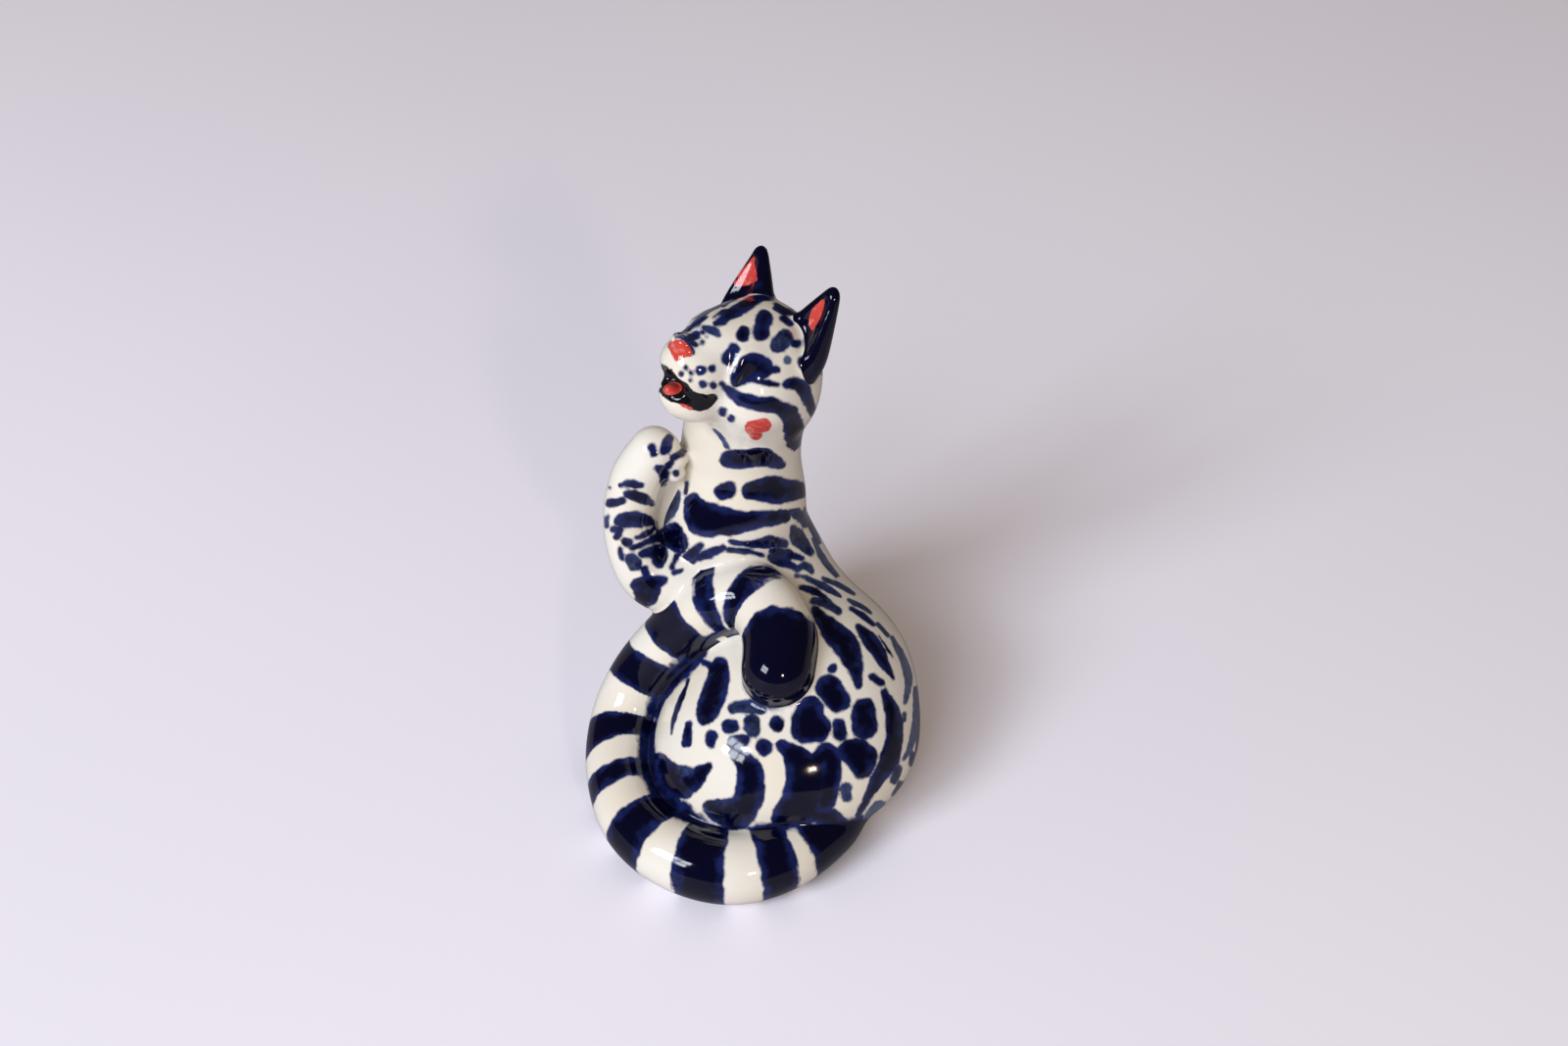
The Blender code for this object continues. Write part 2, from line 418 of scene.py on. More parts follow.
def surface(field):
    """Vertices in millimetres and quads of the field's zero surface, facing out."""
    grid = openvdb.FloatGrid(FAR)
    grid.copyFromArray(field)
    points, quads = grid.convertToQuads(0.0)
    return GRID_LOW + VOXEL * points.astype(float), quads.astype(int)


fused = fused_cat()
shell_points, shell_quads = surface(fused)
shell = BVHTree.FromPolygons(shell_points.tolist(), shell_quads.tolist())


# ---- Splitting the clay into closed pieces that meet on shared faces ----


def border(name):
    """Half a piece's distance less its nearest neighbour's: negative where the piece has the clay."""
    others = [pieces[other] for other in pieces if other != name]
    return (pieces[name] - np.minimum.reduce(others)) / 2


def settled(points, wall):
    """The points moved onto the glaze, onto the wall between two pieces, or onto the line where they meet."""
    points = points.copy()
    skin, inner = sample(fused, points), sample(wall, points)
    near = 0.6 * VOXEL
    flattest = 0.05
    longest = 0.5 * VOXEL
    on_skin = np.abs(skin) <= np.abs(inner)
    on_both = (np.abs(skin) < near) & (np.abs(inner) < near)
    for _ in range(3):
        f, g = slope(fused, points), slope(wall, points)
        a, b = sample(fused, points), sample(wall, points)
        ff, gg, fg = (f * f).sum(1), (g * g).sum(1), (f * g).sum(1)
        to_skin = f * (a / np.maximum(ff, flattest))[:, None]
        to_wall = g * (b / np.maximum(gg, flattest))[:, None]
        spread = np.maximum(ff * gg - fg * fg, flattest)
        to_both = f * ((a * gg - b * fg) / spread)[:, None] + g * ((b * ff - a * fg) / spread)[:, None]
        step = np.where(on_both[:, None], to_both, np.where(on_skin[:, None], to_skin, to_wall))
        length = np.linalg.norm(step, axis=1, keepdims=True)
        points -= step * np.minimum(1, longest / np.maximum(length, 1e-9))
    return points


def split_piece(name):
    """Vertices, quads, whether each vertex is on the glaze, and its normal there."""
    wall = border(name)
    points, quads = surface(np.maximum(fused, wall))
    points = settled(points, wall)
    on_skin = np.abs(sample(fused, points)) < 0.1 * VOXEL
    normals = slope(fused, points)
    normals /= np.maximum(np.linalg.norm(normals, axis=1, keepdims=True), 1e-9)
    return points, quads, on_skin, normals


def piece_mesh(name, points, quads, on_skin, normals):
    """The piece's mesh. Its glazed faces shade as one surface with those of its neighbours."""
    mesh = bpy.data.meshes.new(name)
    mesh.from_pydata((points * MM).tolist(), [], quads.tolist())
    mesh.shade_smooth()
    across = points[quads[:, 2]] - points[quads[:, 0]]
    flat = np.cross(across, points[quads[:, 3]] - points[quads[:, 1]])
    flat /= np.maximum(np.linalg.norm(flat, axis=1, keepdims=True), 1e-9)
    glazed = on_skin[quads].all(axis=1)
    corners = np.where(glazed[:, None, None], normals[quads], flat[:, None, :])
    mesh.normals_split_custom_set(corners.reshape(-1, 3).tolist())
    return mesh


tail_border = border("tail")


# ---- Paint: brush marks on an easel, a plane in front of the painter's eye ----

# The painter looks from where the camera is, and the easel is square to the view. A mark is a tone
# and a path of (right, up, width) in millimetres on the easel. Most places were read by eye off the
# photo, at 0.16 mm to one of its pixels: see "Open failure" in report.md.
EYE = np.array((4.9, -180.1, 201.0))
EASEL = 272.0
LOOK_DOWN = math.radians(40.0)
RIGHT = np.array((1.0, 0.0, 0.0))
UP = np.array((0.0, math.sin(LOOK_DOWN), math.cos(LOOK_DOWN)))
FORWARD = np.array((0.0, math.cos(LOOK_DOWN), -math.sin(LOOK_DOWN)))
# A mark's tone runs from DARK navy to PALE blue. The paler tones stand partly for thinner paint and partly
# for painted sheen: marks painted paler where the glaze catches the light.
DARK, MID, PALE = 0.0, 0.5, 1.0
UNPAINTED = 5.0
SPREAD = 0.2

FACE_MARKS = [
    (DARK, [(-11.2, 32.6, 0.3), (-9.9, 33.2, 1.2), (-8.6, 34.1, 1.6), (-6.7, 35.2, 1.8), (-5.0, 36.2, 1.6),
            (-3.4, 36.7, 0.9), (-1.9, 36.6, 0.2)]),
    (DARK, [(-11.0, 35.4, 0.1), (-8.5, 36.9, 0.2), (-5.8, 37.8, 0.1)]),
    (DARK, [(-9.9, 35.4, 0.0), (-7.7, 36.7, 0.1), (-5.8, 37.4, 0.0)]),
    (DARK, [(-4.8, 37.8, 0.1), (-3.4, 37.7, 0.2), (-2.1, 37.2, 0.1)]),
    (DARK, [(-11.5, 33.6, 0.1), (-10.6, 34.2, 0.2), (-9.7, 34.7, 0.0)]),
    (DARK, [(-15.6, 31.6, 0.2), (-14.2, 32.7, 0.7), (-12.6, 33.7, 0.2)]),
    (DARK, [(-17.9, 30.8, 0.0), (-15.5, 33.0, 0.1), (-13.5, 33.9, 0.0)]),
    (MID, [(-13.0, 31.9, 0.4), (-11.6, 31.4, 0.8), (-10.7, 30.6, 0.2)]),
    (MID, [(-13.3, 31.1, 0.2)]),
    (0.4, [(-16.6, 29.9, 0.5), (-15.8, 30.0, 0.9), (-14.3, 30.5, 1.0)]),
    (0.7, [(-17.6, 30.3, 0.1), (-16.5, 30.5, 0.3)]),
    (MID, [(-17.3, 30.9, 0.2), (-15.6, 31.8, 0.5), (-13.9, 32.5, 0.3)]),
    (DARK, [(-14.4, 33.2, 0.1), (-12.3, 34.6, 0.4), (-10.2, 35.8, 0.2)]),
    (0.7, [(-12.7, 30.3, 0.2)]),
    (0.4, [(-13.3, 29.5, 0.8)]),
    (0.4, [(-16.2, 29.6, 0.5), (-15.3, 29.4, 0.6), (-14.4, 29.1, 0.6)]),
    (0.4, [(-15.7, 29.2, 0.4), (-15.4, 28.8, 0.5), (-14.9, 27.9, 0.5)]),
    (DARK, [(-13.5, 25.0, 1.6)]),
    (DARK, [(-11.8, 25.2, 0.8)]),
    (DARK, [(-15.2, 24.5, 0.6)]),
    (DARK, [(-16.1, 25.4, 0.5)]),
    (DARK, [(-16.8, 24.3, 0.5)]),
    (DARK, [(-15.3, 23.3, 0.4)]),
    (DARK, [(-13.2, 22.7, 1.2)]),
    (DARK, [(-11.6, 22.5, 0.9)]),
    (DARK, [(-10.0, 18.1, 1.3)]),
    (DARK, [(-8.7, 17.1, 0.9)]),
    (DARK, [(-8.0, 23.0, 1.3), (-6.7, 24.3, 2.9), (-4.9, 25.5, 4.4), (-3.8, 25.2, 3.8)]),
    (DARK, [(-8.0, 23.0, 0.8), (-5.4, 23.6, 1.1), (-3.3, 23.0, 1.1), (-1.1, 22.6, 0.8)]),
    (DARK, [(-2.9, 24.8, 1.4), (-1.2, 25.0, 1.2)]),
    (DARK, [(-9.2, 26.9, 1.8), (-8.2, 28.2, 2.0)]),
    (DARK, [(-6.8, 30.4, 1.5), (-6.6, 31.4, 1.6)]),
    (DARK, [(-3.6, 31.2, 2.6), (-3.3, 33.2, 2.7)]),
    (MID, [(-0.8, 29.2, 2.5), (0.2, 30.2, 2.6)]),
    (DARK, [(1.8, 29.3, 1.2), (2.2, 29.3, 1.2)]),
    (PALE, [(0.5, 26.5, 1.2)]),
    (DARK, [(3.4, 26.1, 2.2), (3.9, 25.9, 2.0)]),
    (DARK, [(-1.3, 35.3, 1.1), (0.0, 34.6, 1.0), (1.4, 34.4, 0.6)]),
    (DARK, [(-0.2, 33.4, 0.8), (1.0, 32.6, 0.8)]),
    (DARK, [(0.5, 22.5, 1.3), (2.3, 22.7, 1.8), (3.4, 21.4, 1.8), (4.3, 19.1, 1.4), (5.1, 17.4, 0.8)]),
    (DARK, [(-10.2, 22.7, 0.7), (-8.9, 21.6, 1.2), (-7.1, 20.3, 1.9), (-5.8, 19.9, 2.2), (-3.8, 19.5, 2.2),
            (-1.3, 19.1, 2.3), (0.3, 18.2, 2.5), (1.4, 16.7, 2.7), (1.7, 14.7, 3.1), (1.5, 12.9, 1.8)]),
    (0.8, [(-11.4, 15.3, 0.1), (-10.3, 14.2, 0.4), (-9.4, 12.6, 0.5)]),
    (DARK, [(4.4, 30.0, 2.0), (5.6, 27.6, 2.8), (6.0, 25.2, 1.4)]),
]
INK_MARKS = [
    (DARK, [(-18.5, 24.9, 0.3), (-19.4, 23.4, 1.5), (-17.0, 22.4, 1.6), (-15.2, 20.6, 1.7),
            (-13.0, 19.8, 2.0),
            (-11.5, 20.4, 1.0)]),
    (DARK, [(-20.0, 21.6, 0.6), (-18.5, 20.3, 0.6), (-16.6, 19.8, 0.7), (-14.4, 18.9, 0.8),
            (-12.6, 18.9, 0.5)]),
    (DARK, [(-17.4, 21.2, 2.2), (-16.0, 20.4, 2.0)]),
]
CORAL_MARKS = [
    (DARK, [(-18.2, 28.9, 1.2), (-17.0, 28.6, 2.2), (-15.6, 27.7, 0.8)]),
    (DARK, [(-17.8, 28.4, 1.4), (-17.4, 27.0, 0.8)]),
    (DARK, [(-17.2, 28.2, 1.6), (-16.4, 27.7, 1.2)]),
    (DARK, [(-5.2, 15.5, 2.0), (-4.6, 14.6, 1.8)]),
    (DARK, [(-4.6, 15.6, 2.0), (-3.2, 16.0, 1.9)]),
    (DARK, [(-16.8, 19.3, 0.1), (-15.2, 18.6, 0.1)]),
]
EAR_CORAL_MARKS = [
    (DARK, [(-5.0, 43.1, 0.1), (-5.7, 41.4, 1.3), (-6.3, 40.2, 2.2)]),
    (DARK, [(-7.7, 39.2, 0.6), (-6.2, 39.5, 1.1), (-4.9, 39.9, 0.7)]),
    (DARK, [(-5.1, 42.0, 0.4), (-5.3, 40.6, 1.3)]),
    (DARK, [(6.5, 36.4, 0.0), (5.4, 34.5, 1.4), (4.8, 32.9, 1.1), (4.6, 31.8, 0.2)]),
]
ARM_MARKS = [
    (DARK, [(-26.8, 6.2, 0.5), (-25.2, 6.4, 0.8), (-23.3, 6.1, 0.4)]),
    (DARK, [(-25.7, 4.7, 0.7), (-23.8, 4.3, 1.5), (-21.6, 3.1, 0.7)]),
    (DARK, [(-28.6, 3.1, 0.9), (-26.6, 3.6, 1.2)]),
    (DARK, [(-28.4, 5.8, 0.3)]),
    (DARK, [(-27.1, 0.2, 1.1), (-25.4, 0.9, 1.9), (-23.1, 0.6, 1.9), (-21.1, 0.0, 0.5)]),
    (DARK, [(-26.2, 0.0, 1.2), (-23.6, -0.2, 1.1)]),
    (DARK, [(-24.0, -2.4, 0.4), (-22.5, -1.9, 0.7), (-20.9, -0.7, 0.4)]),
    (MID, [(-28.9, 1.0, 0.7), (-28.9, -0.5, 0.6)]),
    (DARK, [(-27.9, -1.0, 1.0), (-26.8, -1.2, 0.9), (-27.4, -2.3, 0.7)]),
    (DARK, [(-25.9, -3.1, 0.9), (-25.3, -3.2, 0.9)]),
    (DARK, [(-26.8, -4.2, 0.5), (-26.5, -5.8, 0.3)]),
    (DARK, [(-21.5, 12.3, 1.0), (-21.3, 11.3, 1.2)]),
    (DARK, [(-18.8, 13.8, 1.0), (-19.3, 12.3, 1.4), (-19.8, 11.6, 0.8)]),
    (DARK, [(-18.1, 10.5, 0.7), (-16.6, 11.6, 0.9)]),
    (DARK, [(-20.8, 9.1, 0.7), (-19.8, 8.4, 1.6), (-19.7, 7.2, 0.9), (-19.6, 6.4, 0.4)]),
    (DARK, [(-18.8, 9.4, 0.9), (-18.3, 9.9, 0.6)]),
    (DARK, [(-17.6, 8.2, 0.7)]),
]
SHOULDER_MARKS = [
    (DARK, [(-24.8, -4.1, 0.4), (-22.0, -2.9, 0.9), (-19.6, -1.9, 2.0), (-18.0, -1.8, 3.2)]),
    (DARK, [(-19.0, -2.5, 2.4), (-17.8, -2.6, 3.4), (-17.2, -3.4, 2.8)]),
    (DARK, [(-23.3, -5.0, 0.6), (-21.7, -4.8, 1.5), (-20.3, -4.9, 2.5), (-20.4, -6.4, 1.8)]),
    (MID, [(-24.9, -6.0, 1.7), (-24.4, -6.9, 1.8)]),
    (DARK, [(-22.7, -7.8, 1.3), (-22.5, -8.5, 1.2)]),
    (DARK, [(-17.5, -5.4, 0.9), (-18.3, -7.2, 0.8)]),
    (MID, [(-18.0, -8.2, 0.6), (-16.8, -7.8, 0.6)]),
    (DARK, [(-24.2, -10.0, 1.6), (-22.4, -9.9, 2.6), (-19.6, -9.3, 1.1)]),
    (DARK, [(-23.4, -11.2, 2.2), (-22.6, -12.4, 2.6), (-21.4, -11.2, 2.0)]),
]
# The MID and paler marks towards the right edge of the neck and back are navy marks painted lighter: painted
# sheen where the glaze catches the light at a grazing angle.
NECK_MARKS = [
    (DARK, [(-9.1, 10.3, 2.6), (-6.2, 10.5, 2.7), (-3.4, 10.7, 2.8), (-1.3, 10.0, 1.8), (-0.5, 9.5, 1.0)]),
    (DARK, [(-9.9, 5.2, 2.5), (-9.2, 5.4, 2.6)]),
    (DARK, [(-5.6, 5.3, 2.6), (-3.0, 5.4, 4.2), (0.0, 5.3, 4.0), (2.4, 5.4, 2.6)]),
    (DARK, [(-14.9, 3.4, 2.6), (-14.0, 1.4, 4.6), (-12.9, 0.6, 5.4), (-11.1, 0.4, 4.7), (-7.2, 0.1, 3.4),
            (-3.4, 0.7, 2.6), (0.1, 1.1, 1.8)]),
    (MID, [(1.3, 1.7, 1.1), (2.6, 1.2, 1.6), (3.6, -0.2, 0.9)]),
    (0.7, [(3.6, 2.2, 0.6), (4.5, -0.4, 1.0), (5.6, -3.2, 0.6)]),
    (DARK, [(-8.6, -3.1, 0.4), (-5.3, -3.4, 1.1), (-2.6, -3.1, 1.8), (0.1, -3.4, 0.9)]),
    (MID, [(1.6, -0.9, 0.9), (2.4, -2.6, 2.3), (4.4, -4.7, 1.0)]),
    (DARK, [(-9.0, -4.4, 0.4), (-5.7, -4.7, 0.7), (-3.4, -5.3, 0.4)]),
    (DARK, [(-2.0, -4.6, 0.8), (0.5, -5.1, 1.3), (2.9, -5.8, 0.6)]),
    (DARK, [(-2.2, -5.7, 0.9), (-0.2, -6.4, 1.5), (1.6, -7.0, 0.8)]),
    (MID, [(2.3, -7.4, 1.0), (3.6, -7.0, 1.4), (4.6, -7.9, 0.8)]),
    (DARK, [(-16.4, -6.1, 0.7), (-15.0, -5.0, 1.4), (-13.5, -3.6, 0.7)]),
    (DARK, [(-17.8, -8.4, 0.7), (-15.4, -6.8, 0.6), (-14.1, -5.9, 0.8), (-12.0, -4.8, 1.3),
            (-10.1, -4.0, 0.7)]),
    (0.6, [(-17.4, 5.0, 0.9), (-18.3, 2.6, 1.7), (-19.8, -0.1, 0.7)]),
    (DARK, [(-15.9, 6.4, 0.4), (-16.1, 4.8, 0.5)]),
    (0.7, [(2.0, -8.6, 0.2), (3.6, -8.7, 0.4)]),
    (0.8, [(4.7, -2.6, 0.3), (6.4, -5.8, 0.8), (8.6, -8.6, 0.4)]),
    (MID, [(3.8, -9.0, 0.5), (6.6, -10.5, 0.9), (9.2, -11.9, 0.3)]),
    (DARK, [(2.9, -10.6, 0.6), (5.0, -11.2, 1.1), (6.6, -12.0, 0.5)]),
    (MID, [(4.8, -12.6, 0.6), (6.8, -13.0, 1.5), (8.8, -14.4, 0.8)]),
    (0.7, [(6.4, -9.0, 0.3), (9.3, -10.3, 0.6), (11.5, -11.6, 0.2)]),
    (0.7, [(10.6, -12.6, 0.2), (12.6, -13.6, 0.5), (14.1, -14.6, 0.2)]),
    (DARK, [(10.9, -14.0, 0.3), (12.8, -15.1, 0.7), (14.6, -16.7, 0.3)]),
]
RUMP_MARKS = [
    (0.2, [(-10.4, -23.2, 2.6), (-11.0, -26.6, 3.6), (-12.2, -30.0, 3.6), (-13.0, -31.8, 2.2)]),
    (DARK, [(-15.6, -33.0, 1.1), (-15.9, -35.8, 1.1)]),
    (DARK, [(-11.8, -34.9, 1.8), (-12.0, -35.7, 1.6)]),
    (DARK, [(-8.9, -33.1, 2.1), (-8.5, -33.1, 2.1)]),
    (MID, [(-5.2, -32.6, 2.6), (-5.2, -33.4, 2.6)]),
    (DARK, [(-1.2, -32.9, 2.3)]),
    (DARK, [(-8.1, -35.8, 2.1), (-6.8, -35.5, 2.2)]),
    (DARK, [(-3.2, -36.6, 2.4)]),
    (MID, [(-8.4, -30.4, 1.4), (-5.6, -29.8, 2.0), (-3.6, -30.6, 1.2)]),
    (DARK, [(4.4, -30.6, 4.4), (3.4, -33.4, 4.6), (5.2, -33.2, 4.8)]),
    (DARK, [(7.4, -27.0, 4.2), (8.6, -28.8, 4.2)]),
    (DARK, [(13.0, -30.4, 3.4), (13.1, -33.0, 4.2)]),
    (DARK, [(9.0, -33.0, 2.1), (9.1, -34.6, 2.1)]),
    (DARK, [(10.6, -37.2, 3.4), (12.6, -38.2, 4.8), (12.6, -40.4, 2.8)]),
    (MID, [(10.1, -43.4, 1.6), (10.2, -44.8, 1.4)]),
    (PALE, [(14.4, -48.0, 2.2), (15.6, -46.6, 2.2)]),
    (DARK, [(14.6, -25.2, 1.1), (15.7, -26.0, 1.1)]),
    (DARK, [(7.9, -23.8, 1.2)]),
    (DARK, [(16.2, -27.6, 0.8), (17.6, -30.5, 2.2), (18.0, -34.5, 2.6), (17.2, -38.6, 2.8),
            (14.6, -43.0, 1.6),
            (12.0, -47.8, 0.6)]),
    (0.2, [(5.2, -14.4, 1.2), (7.6, -17.4, 3.1), (10.0, -19.8, 3.9), (11.4, -23.0, 2.7), (12.2, -26.6, 0.9)]),
    (DARK, [(12.2, -17.0, 0.8), (14.4, -19.6, 2.4), (16.3, -22.8, 1.5), (17.9, -25.5, 0.2)]),
    (DARK, [(15.5, -18.4, 0.0), (17.8, -22.0, 0.0)]),
    # Painted sheen: the pale and MID marks down the rump's right edge are navy marks painted lighter where
    # the glaze catches the light at a grazing angle.
    (0.7, [(15.4, -16.6, 0.3), (17.0, -18.4, 0.4)]),
    (0.8, [(17.6, -18.7, 0.4), (19.2, -21.8, 0.9), (20.3, -25.4, 1.1), (19.8, -29.2, 0.3)]),
    (0.8, [(21.4, -27.0, 0.4), (21.8, -31.6, 1.2), (20.8, -36.0, 0.8), (19.6, -38.4, 0.3)]),
    (MID, [(19.7, -31.2, 0.3), (19.7, -32.2, 0.3)]),
    (MID, [(22.2, -34.4, 0.5), (21.8, -37.0, 0.6)]),
    (MID, [(21.1, -37.6, 0.6), (20.8, -39.2, 0.6)]),
    (MID, [(18.6, -40.2, 1.0), (17.9, -42.2, 0.9)]),
    (MID, [(18.2, -44.2, 0.8), (19.1, -42.6, 1.0)]),
    (DARK, [(-20.4, -38.4, 1.6), (-18.6, -41.2, 3.8), (-16.8, -43.2, 3.6), (-14.6, -41.6, 3.0),
            (-12.4, -39.8, 1.2)]),
    (MID, [(-17.6, -40.8, 2.6), (-15.0, -40.8, 1.8)]),
    (DARK, [(-7.8, -37.6, 2.0), (-5.7, -40.2, 3.9), (-5.6, -44.0, 4.4), (-7.6, -48.4, 4.2)]),
    (0.3, [(-12.2, -46.4, 2.0), (-9.8, -47.2, 4.2), (-7.6, -47.6, 4.2)]),
    (DARK, [(-0.6, -36.2, 1.2), (1.6, -38.0, 3.2), (3.6, -41.2, 6.6), (3.2, -45.2, 6.8), (0.2, -48.0, 4.2)]),
    (DARK, [(5.2, -39.4, 3.4), (7.2, -37.8, 3.4), (7.4, -41.4, 3.4), (6.4, -45.2, 4.0)]),
    (DARK, [(-15.6, -25.6, 0.1), (-16.6, -28.2, 0.5), (-17.8, -31.4, 0.4), (-18.4, -34.4, 0.1)]),
    (DARK, [(2.0, -48.2, 1.8), (7.2, -47.8, 2.8), (9.8, -50.4, 2.8)]),
]
# Painted shade: a dark cobalt wash in the hollow where the tail's inner edge shades the body, together with
# the marks there.
HOLLOW_MARKS_AND_SHADE = [
    (DARK, [(-17.8, -24.6, 0.6), (-15.8, -21.8, 1.4), (-13.2, -19.6, 1.3), (-10.6, -18.1, 0.8),
            (-8.6, -17.8, 0.5)]),
    (DARK, [(-13.8, -22.2, 0.5), (-12.0, -23.4, 1.0)]),
]
TAIL_BANDS = [
    (-9.0, 0.0, 11.3, 0.0),
    (13.1, 0.1, 18.2, 0.0),
    (22.0, 0.0, 28.8, -0.15),
    (32.6, 0.1, 38.8, 0.0),
    (43.2, -0.05, 47.1, -0.1),
    (51.4, -0.3, 57.2, -0.35),
    (63.4, -0.2, 69.8, -0.7),
    (73.4, -0.3, 81.4, -0.15),
    (84.2, 0.0, 86.6, 0.0),
    (88.7, 0.4, 92.6, 0.0),
    (95.5, 0.0, 130.0, 0.0),
]
RING_CENTRES = np.array(((2.0, -3.0, 12.0), (-4.0, -2.0, 26.0)))
UPPER_RING = 60.0
TIP_BOW = 0.08
MARK_REACH = 1.5
STEEPEST = 0.3
COVERED = -2.0
INK_RIM = 0.35
EASEL_MARKS = {
    "head": FACE_MARKS + NECK_MARKS,
    "body_shell": FACE_MARKS[-4:] + NECK_MARKS + SHOULDER_MARKS + RUMP_MARKS + HOLLOW_MARKS_AND_SHADE,
    "left_foreleg": ARM_MARKS + SHOULDER_MARKS,
    "tail": HOLLOW_MARKS_AND_SHADE,
}


def on_easel(points):
    """Where the points stand on the painter's plane, and their depth over the plane's."""
    seen = points - EYE
    scale = (seen @ FORWARD) / EASEL
    return np.stack((seen @ RIGHT, seen @ UP), axis=1) / scale[:, None], scale


def seen_from_eye(points):
    """Whether nothing hides each point from the painter."""
    eye, allowed = Vector(EYE), 0.5
    seen = np.zeros(len(points), bool)
    for i, place in enumerate(points):
        way = Vector(place) - eye
        reach = way.length
        seen[i] = shell.ray_cast(eye, way, reach - allowed)[0] is None
    return seen


def mark_path(points):
    """A mark's smooth path, of two equal points where it is a dot."""
    return curve(points, 4) if len(points) > 1 else np.array([points[0], points[0]], float)


def brushed(marks, flat):
    """Distance on the easel to the nearest mark, the direction away from it, and that mark's tone."""
    near = np.full(len(flat), UNPAINTED)
    away = np.zeros((len(flat), 2))
    tone = np.zeros(len(flat))
    for shade, points in marks:
        path = mark_path(points)
        reach = path[:, 2].max() / 2 + MARK_REACH
        inside = (flat > path[:, :2].min(axis=0) - reach) & (flat < path[:, :2].max(axis=0) + reach)
        rows = np.flatnonzero(inside.all(axis=1))
        for start, end in zip(path, path[1:]):
            along = end[:2] - start[:2]
            share = np.clip((flat[rows] - start[:2]) @ along / max(along @ along, 1e-6), 0, 1)
            gap = flat[rows] - start[:2] - share[:, None] * along
            length = np.linalg.norm(gap, axis=1)
            distance = length - (start[2] + share * (end[2] - start[2])) / 2
            better = distance < near[rows]
            chosen = rows[better]
            near[chosen] = distance[better]
            away[chosen] = gap[better] / np.maximum(length[better], 1e-6)[:, None]
            tone[chosen] = shade
    return near, away, tone


def painted(marks, points, normals, seen):
    """Signed distance in millimetres along the surface to the nearest mark, and its tone."""
    flat, scale = on_easel(points)
    near, away, tone = brushed(marks, flat)
    lead = away[:, :1] * RIGHT + away[:, 1:] * UP
    lead -= (lead * normals).sum(1, keepdims=True) * normals
    steep = np.clip(np.linalg.norm(lead, axis=1), STEEPEST, 1)
    near = np.where(seen, (near - SPREAD) * scale / steep, UNPAINTED)
    return np.clip(near, -UNPAINTED, UNPAINTED), tone


def tail_paint(points):
    """Signed distance along the tail to the nearest dark band. The bands lean as they cross the tail."""
    path = curve(TAIL)[:, :3]
    steps = np.linalg.norm(np.diff(path, axis=0), axis=1)
    marks = np.concatenate(([0.0], np.cumsum(steps)))
    best = np.full(len(points), 1e9)
    place, across = np.zeros(len(points)), np.zeros(len(points))
    for start, end, mark, step in zip(path, path[1:], marks, steps):
        along = end - start
        outward = start - RING_CENTRES[int(mark > UPPER_RING)]
        outward /= np.linalg.norm(outward)
        share = np.clip((points - STAND - start) @ along / (along @ along), 0, 1)
        gap = points - STAND - start - share[:, None] * along
        length = np.linalg.norm(gap, axis=1)
        better = length < best
        best[better] = length[better]
        place[better] = (mark + share * step)[better]
        across[better] = (gap @ outward)[better]
    bands = [np.maximum(low + lean * across - place, place - high - tilt * across)
             for low, lean, high, tilt in TAIL_BANDS]
    bands[-1] += TIP_BOW * across**2
    return np.clip(np.min(bands, axis=0), -UNPAINTED, UNPAINTED)


def crease_cobalt_and_shade(points):
    """Distance from the dark cobalt along the crease between the lying tail and the rump: partly cobalt
    pooled in the glaze, partly painted shade of the crease.
    """
    thin, added = 0.35, 0.8
    front, front_length = -6.0, 4.0
    top, back, fade, most = 24.0, 7.0, 3.0, 3
    x, y, z = (points - STAND).T
    width = thin + added * np.clip((front - x) / front_length, 0, 1)
    crease = np.abs(sample(tail_border, points)) - width
    return crease + np.clip((z - top) / fade, 0, most) + np.clip((y - back) / fade, 0, most)


# ---- Paint on the sides that the painter's eye can't see ----

NECK_MIRROR = 43.0
SHOULDER_HEIGHT = 37.0
NOWHERE = 1000.0
# Marks carried round to the hidden sides are kept at most this pale, so the painted sheen of the seen edges
# does not go round with them.
CARRIED_TONE = 0.35
TWIN_REACH = 1.5
TWIN_SLACK = 0.3
LEAF_GAP = 0.9
LEAF_TONES = (0.0, 0.0, 0.4, 0.8)
FILL_START = 1.2
TOE_TOP = 6.0
FOOT_TOP = 7.0
RUMP_TOP = 15.0
NECK_BASE = 40.0


def mirrored(name, points):
    """Each point's place on the other side of the head or the neck."""
    if name == "head":
        local = (points - HEAD_CENTRE) @ HEAD_AXES
        return HEAD_CENTRE + (local * (1, -1, 1)) @ HEAD_AXES.T
    other = (points - STAND) * (1, -1, 1) + (0, NECK_MIRROR, 0) + STAND
    return np.where((points[:, 2] > SHOULDER_HEIGHT)[:, None], other, NOWHERE)


def carry_round(name, points, on_skin, seen, values):
    """Runs each mark on past the seen side's edge, and repeats the near side's marks on the far side."""
    rows = np.flatnonzero(seen)
    if not rows.size:
        return np.full(len(points), UNPAINTED)
    tree = KDTree(len(rows))
    for row in rows:
        tree.insert(points[row], row)
    tree.balance()
    twins = mirrored(name, points) if name in ("head", "body_shell") else None
    reach = np.zeros(len(points))
    for i in np.flatnonzero(on_skin & ~seen):
        _, row, gap = tree.find(points[i])
        reach[i] = gap
        best = [value[row] + gap for value in values[:-1]]
        tone = values[-1][row]
        if twins is not None:
            _, twin, gap = tree.find(twins[i])
            if gap < TWIN_REACH:
                other = [value[twin] + max(gap - TWIN_SLACK, 0) for value in values[:-1]]
                tone = tone if best[0] < other[0] else values[-1][twin]
                best = [min(a, b) for a, b in zip(best, other)]
        for value, number in zip(values, [*best, min(tone, CARRIED_TONE)]):
            value[i] = number
    return reach


